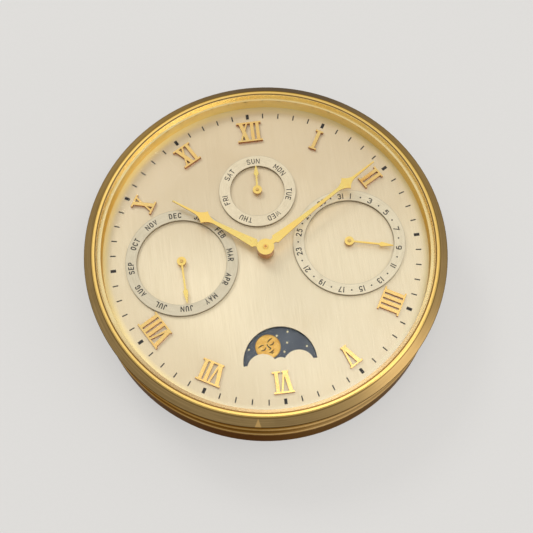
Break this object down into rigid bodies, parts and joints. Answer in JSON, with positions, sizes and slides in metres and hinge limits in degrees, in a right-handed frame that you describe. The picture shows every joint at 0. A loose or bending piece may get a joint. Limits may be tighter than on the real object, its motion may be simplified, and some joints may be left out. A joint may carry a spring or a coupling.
{
  "type": "desk clock with calendar",
  "caption": "Round brass desk clock lying on its back: silvered dial, applied Roman numerals, day, date and month subdials, moon phase window, domed crystal, rear winding key and folding stand.",
  "frame": {"origin": "centre of the rear rim, the flat ring that the clock rests on when it lies on its back", "axes": "+Z out of the dial, -Y towards 6 o'clock, +X towards 3 o'clock"},
  "size_m": [0.135, 0.135, 0.0378],
  "materials": {
    "case_brass": "satin, lightly patinated",
    "glass": "polished",
    "dial_silver": "fine vertical brushing, champagne silver",
    "ring_silver": "satin silver",
    "gilt": "polished gilt",
    "moon_enamel": "dark blue lacquer with gilt moons",
    "movement_brass": "brushed",
    "steel": "ground",
    "cover_brass": "satin"
  },
  "bodies": {
    "case": {"case_drum": "case_brass", "bezel_ring": "case_brass", "crystal": "glass", "back_cover": "cover_brass", "cover_screws": "steel", "stand_brackets": "case_brass", "dial_plate": "dial_silver", "day_ring": "ring_silver", "date_ring": "ring_silver", "month_ring": "ring_silver", "numeral_i": "gilt", "numeral_ii": "gilt", "numeral_iiii": "gilt", "numeral_v": "gilt", "numeral_vi": "gilt", "numeral_vii": "gilt", "numeral_viii": "gilt", "numeral_x": "gilt", "numeral_xi": "gilt", "numeral_xii": "gilt", "rear_plate": "movement_brass", "front_plate": "movement_brass", "plate_pillars": "movement_brass", "plate_screws": "steel", "click": "steel", "balance_cock": "movement_brass"},
    "minute": {"centre_arbor": "steel", "minute_hand": "gilt", "setting_knob": "movement_brass"},
    "hour": {"hour_wheel": "movement_brass", "hour_hand": "gilt"},
    "minute_work": {"minute_wheel": "movement_brass"},
    "day_work": {"day_wheel": "movement_brass"},
    "barrel": {"mainspring_barrel": "movement_brass", "mainspring": "steel"},
    "winding": {"winding_arbor": "steel", "winding_key": "movement_brass", "ratchet_wheel": "steel"},
    "link": {"link_wheel": "movement_brass"},
    "centre": {"centre_wheel": "movement_brass"},
    "third": {"third_wheel": "movement_brass"},
    "fourth": {"fourth_wheel": "movement_brass"},
    "escape": {"escape_wheel": "steel"},
    "fork": {"pallet_fork": "steel"},
    "balance": {"balance_wheel": "movement_brass", "balance_spring": "steel"},
    "regulator": {"regulator_lever": "steel"},
    "day": {"day_star": "movement_brass", "day_hand": "gilt"},
    "date": {"date_star": "movement_brass", "date_hand": "gilt"},
    "month": {"month_star": "movement_brass", "month_hand": "gilt"},
    "moon": {"moon_disc": "moon_enamel"},
    "day_push": {"day_corrector": "steel"},
    "date_push": {"date_corrector": "steel"},
    "month_push": {"month_corrector": "steel"},
    "moon_push": {"moon_corrector": "steel"},
    "stand": {"folding_stand": "case_brass"}
  },
  "joints": [
    {"name": "minute_hand_turn", "type": "hinge", "parent": "case", "child": "minute", "pos_m": [0, 0, 0.03], "axis": [0, 0, -1], "continuous": true},
    {"name": "hour_hand_turn", "type": "hinge", "parent": "case", "child": "hour", "pos_m": [0, 0, 0.028], "axis": [0, 0, -1], "continuous": true},
    {"name": "minute_wheel_turn", "type": "hinge", "parent": "case", "child": "minute_work", "pos_m": [-0.00849, -0.00849, 0.019], "axis": [0, 0, -1], "continuous": true},
    {"name": "day_wheel_turn", "type": "hinge", "parent": "case", "child": "day_work", "pos_m": [0.00764, 0.00764, 0.021], "axis": [0, 0, -1], "continuous": true},
    {"name": "fourth_wheel_turn", "type": "hinge", "parent": "case", "child": "fourth", "pos_m": [0.01264, 0.01322, 0.013], "axis": [0, 0, -1], "continuous": true},
    {"name": "escape_wheel_turn", "type": "hinge", "parent": "case", "child": "escape", "pos_m": [0.01123, 0.0212, 0.013], "axis": [0, 0, -1], "continuous": true},
    {"name": "third_wheel_turn", "type": "hinge", "parent": "case", "child": "third", "pos_m": [0.00513, 0.00889, 0.013], "axis": [0, 0, -1], "continuous": true},
    {"name": "centre_wheel_turn", "type": "hinge", "parent": "case", "child": "centre", "pos_m": [0, 0, 0.013], "axis": [0, 0, -1], "continuous": true},
    {"name": "link_wheel_turn", "type": "hinge", "parent": "case", "child": "link", "pos_m": [0.00458, -0.01, 0.013], "axis": [0, 0, -1], "continuous": true},
    {"name": "barrel_turn", "type": "hinge", "parent": "case", "child": "barrel", "pos_m": [0, -0.025, 0.012], "axis": [0, 0, -1], "continuous": true},
    {"name": "winding_key_turn", "type": "hinge", "parent": "case", "child": "winding", "pos_m": [0, -0.025, 0.005], "axis": [0, 0, -1], "continuous": true},
    {"name": "pallet_fork_rock", "type": "hinge", "parent": "case", "child": "fork", "pos_m": [0.00488, 0.022, 0.013], "axis": [0, 0, 1], "range_deg": [-5, 5]},
    {"name": "balance_swing", "type": "hinge", "parent": "case", "child": "balance", "pos_m": [-0.00457, 0.02299, 0.012], "axis": [0, 0, 1], "range_deg": [-270, 270], "stiffness_Nm_per_rad": 0.000005},
    {"name": "regulator_shift", "type": "hinge", "parent": "case", "child": "regulator", "pos_m": [-0.00457, 0.02299, 0.007], "axis": [0, 0, 1], "range_deg": [-20, 20]},
    {"name": "day_hand_turn", "type": "hinge", "parent": "case", "child": "day", "pos_m": [0, 0.0252, 0.022], "axis": [0, 0, -1], "continuous": true},
    {"name": "date_hand_turn", "type": "hinge", "parent": "case", "child": "date", "pos_m": [0.0316, 0, 0.022], "axis": [0, 0, -1], "continuous": true},
    {"name": "month_hand_turn", "type": "hinge", "parent": "case", "child": "month", "pos_m": [-0.0316, 0, 0.022], "axis": [0, 0, -1], "continuous": true},
    {"name": "moon_disc_turn", "type": "hinge", "parent": "case", "child": "moon", "pos_m": [0, -0.0426, 0.023], "axis": [0, 0, -1], "continuous": true},
    {"name": "stand_fold", "type": "hinge", "parent": "case", "child": "stand", "pos_m": [0, 0.034, 0.0028], "axis": [1, 0, 0], "range_deg": [0, 40]},
    {"name": "day_corrector_press", "type": "slide", "parent": "case", "child": "day_push", "axis": [0, 0, 1], "range_m": [0, 0.0015], "stiffness_N_per_m": 400},
    {"name": "date_corrector_press", "type": "slide", "parent": "case", "child": "date_push", "axis": [0, 0, 1], "range_m": [0, 0.0015], "stiffness_N_per_m": 400},
    {"name": "month_corrector_press", "type": "slide", "parent": "case", "child": "month_push", "axis": [0, 0, 1], "range_m": [0, 0.0015], "stiffness_N_per_m": 400},
    {"name": "moon_corrector_press", "type": "slide", "parent": "case", "child": "moon_push", "axis": [0, 0, 1], "range_m": [0, 0.0015], "stiffness_N_per_m": 400}
  ],
  "couplings": [
    {"joint": "hour_hand_turn", "follows": "minute_hand_turn", "ratio": 0.083333},
    {"joint": "minute_wheel_turn", "follows": "minute_hand_turn", "ratio": -0.33333},
    {"joint": "day_wheel_turn", "follows": "minute_hand_turn", "ratio": -0.041667},
    {"joint": "escape_wheel_turn", "follows": "fourth_wheel_turn", "ratio": -8},
    {"joint": "third_wheel_turn", "follows": "fourth_wheel_turn", "ratio": -0.13333},
    {"joint": "centre_wheel_turn", "follows": "fourth_wheel_turn", "ratio": 0.016667},
    {"joint": "link_wheel_turn", "follows": "fourth_wheel_turn", "ratio": -0.0037037},
    {"joint": "barrel_turn", "follows": "fourth_wheel_turn", "ratio": 0.00061728}
  ]
}
